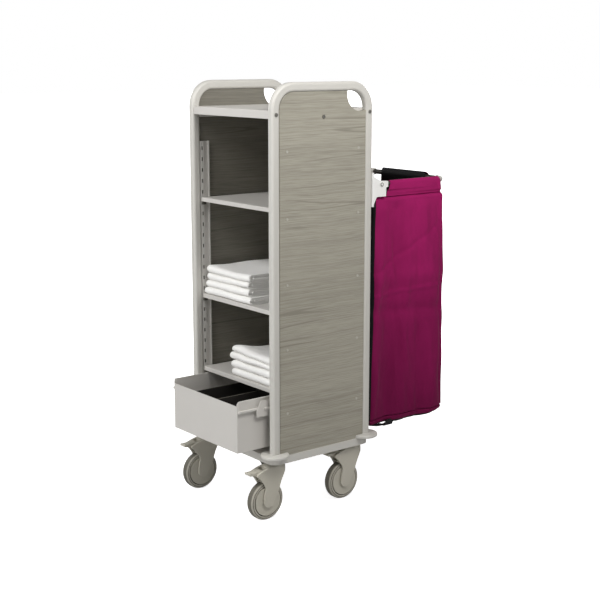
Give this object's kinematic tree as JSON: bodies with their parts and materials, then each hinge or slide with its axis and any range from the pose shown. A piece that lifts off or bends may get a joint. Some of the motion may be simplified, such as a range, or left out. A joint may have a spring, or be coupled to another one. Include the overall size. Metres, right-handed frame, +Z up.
{
  "type": "linen trolley",
  "caption": "Tall ward linen trolley with open shelves, a compartment drawer, braked swivel castors and a folding laundry bag holder.",
  "frame": {"origin": "on the floor under the middle of the whole trolley's box", "axes": "+Z up; -Y is the open shelf side where the drawer pulls out; +Y is the side where the bag hangs; +X is to the right seen from the open side"},
  "size_m": [0.507, 0.8514, 1.34],
  "materials": {
    "frame_paint": "satin warm light grey powder coat",
    "laminate": "matt grey-beige wood-grain laminate",
    "sheet_paint": "satin light grey powder coat",
    "castor_plastic": "moulded grey polyamide",
    "divider_plastic": "black moulded plastic",
    "tyre": "grey non-marking rubber",
    "steel": "zinc plated",
    "bracket_plastic": "off-white powder coat",
    "dark_tube": "dark grey powder coat",
    "bag_fabric": "burgundy coated polyester, black lining",
    "linen": "white terry cotton"
  },
  "bodies": {
    "chassis": {"base_frame": "frame_paint", "bumper_front_left": "frame_paint", "bumper_front_right": "frame_paint", "bumper_rear_left": "frame_paint", "bumper_rear_right": "frame_paint", "side_frame_left": "frame_paint", "side_frame_right": "frame_paint", "side_panel_left": "laminate", "side_panel_right": "laminate", "back_panel": "laminate", "top_tray": "sheet_paint", "shelf_upper": "sheet_paint", "shelf_middle": "sheet_paint", "shelf_lower": "sheet_paint", "upright_front_left": "sheet_paint", "upright_front_right": "sheet_paint", "upright_rear_left": "sheet_paint", "upright_rear_right": "sheet_paint", "shelf_clips": "steel", "frame_screws": "steel", "panel_rivets": "sheet_paint", "drawer_rails": "steel", "castor_stem_front_left": "steel", "castor_stem_front_right": "steel", "castor_stem_rear_left": "steel", "castor_stem_rear_right": "steel", "bag_bracket_left": "bracket_plastic", "bag_bracket_right": "bracket_plastic", "bracket_screws": "steel", "towels_middle": "linen", "towels_lower": "linen"},
    "drawer_slides": {"drawer_slides": "sheet_paint"},
    "drawer": {"drawer_box": "sheet_paint", "drawer_runners": "sheet_paint", "drawer_dividers": "divider_plastic"},
    "castor_front_left": {"fork_front_left": "castor_plastic", "axle_front_left": "steel"},
    "wheel_front_left": {"wheel_front_left": "castor_plastic", "tyre_front_left": "tyre"},
    "pedal_front_left": {"pedal_front_left": "castor_plastic"},
    "castor_front_right": {"fork_front_right": "castor_plastic", "axle_front_right": "steel"},
    "wheel_front_right": {"wheel_front_right": "castor_plastic", "tyre_front_right": "tyre"},
    "pedal_front_right": {"pedal_front_right": "castor_plastic"},
    "castor_rear_left": {"fork_rear_left": "castor_plastic", "axle_rear_left": "steel"},
    "wheel_rear_left": {"wheel_rear_left": "castor_plastic", "tyre_rear_left": "tyre"},
    "pedal_rear_left": {"pedal_rear_left": "castor_plastic"},
    "castor_rear_right": {"fork_rear_right": "castor_plastic", "axle_rear_right": "steel"},
    "wheel_rear_right": {"wheel_rear_right": "castor_plastic", "tyre_rear_right": "tyre"},
    "pedal_rear_right": {"pedal_rear_right": "castor_plastic"},
    "bag_holder": {"bag_frame": "dark_tube", "bag_frame_elbows": "frame_paint", "bag_pivots": "steel", "laundry_bag": "bag_fabric"}
  },
  "joints": [
    {"name": "drawer_pull", "type": "slide", "parent": "chassis", "child": "drawer", "axis": [0, -1, 0], "range_m": [-0.104, 0.15]},
    {"name": "runner_extend", "type": "slide", "parent": "chassis", "child": "drawer_slides", "axis": [0, -1, 0], "range_m": [-0.052, 0.075]},
    {"name": "castor_swivel_front_left", "type": "hinge", "parent": "chassis", "child": "castor_front_left", "pos_m": [-0.182, -0.28125, 0.175], "axis": [0, 0, 1], "continuous": true},
    {"name": "wheel_spin_front_left", "type": "hinge", "parent": "castor_front_left", "child": "wheel_front_left", "pos_m": [-0.182, -0.32625, 0.0625], "axis": [1, 0, 0], "continuous": true},
    {"name": "brake_pedal_front_left", "type": "hinge", "parent": "castor_front_left", "child": "pedal_front_left", "pos_m": [-0.182, -0.34525, 0.156], "axis": [1, 0, 0], "range_deg": [0, 12]},
    {"name": "castor_swivel_front_right", "type": "hinge", "parent": "chassis", "child": "castor_front_right", "pos_m": [0.182, -0.28125, 0.175], "axis": [0, 0, 1], "continuous": true},
    {"name": "wheel_spin_front_right", "type": "hinge", "parent": "castor_front_right", "child": "wheel_front_right", "pos_m": [0.182, -0.32625, 0.0625], "axis": [1, 0, 0], "continuous": true},
    {"name": "brake_pedal_front_right", "type": "hinge", "parent": "castor_front_right", "child": "pedal_front_right", "pos_m": [0.182, -0.34525, 0.156], "axis": [1, 0, 0], "range_deg": [0, 12]},
    {"name": "castor_swivel_rear_left", "type": "hinge", "parent": "chassis", "child": "castor_rear_left", "pos_m": [-0.182, 0.02775, 0.175], "axis": [0, 0, 1], "continuous": true},
    {"name": "wheel_spin_rear_left", "type": "hinge", "parent": "castor_rear_left", "child": "wheel_rear_left", "pos_m": [-0.182, -0.01725, 0.0625], "axis": [1, 0, 0], "continuous": true},
    {"name": "brake_pedal_rear_left", "type": "hinge", "parent": "castor_rear_left", "child": "pedal_rear_left", "pos_m": [-0.182, -0.03625, 0.156], "axis": [1, 0, 0], "range_deg": [0, 12]},
    {"name": "castor_swivel_rear_right", "type": "hinge", "parent": "chassis", "child": "castor_rear_right", "pos_m": [0.182, 0.02775, 0.175], "axis": [0, 0, 1], "continuous": true},
    {"name": "wheel_spin_rear_right", "type": "hinge", "parent": "castor_rear_right", "child": "wheel_rear_right", "pos_m": [0.182, -0.01725, 0.0625], "axis": [1, 0, 0], "continuous": true},
    {"name": "brake_pedal_rear_right", "type": "hinge", "parent": "castor_rear_right", "child": "pedal_rear_right", "pos_m": [0.182, -0.03625, 0.156], "axis": [1, 0, 0], "range_deg": [0, 12]},
    {"name": "bag_holder_fold", "type": "hinge", "parent": "chassis", "child": "bag_holder", "pos_m": [0, 0.13125, 1.015], "axis": [1, 0, 0], "range_deg": [0, 90]}
  ],
  "couplings": [
    {"joint": "runner_extend", "follows": "drawer_pull", "ratio": 0.5}
  ]
}
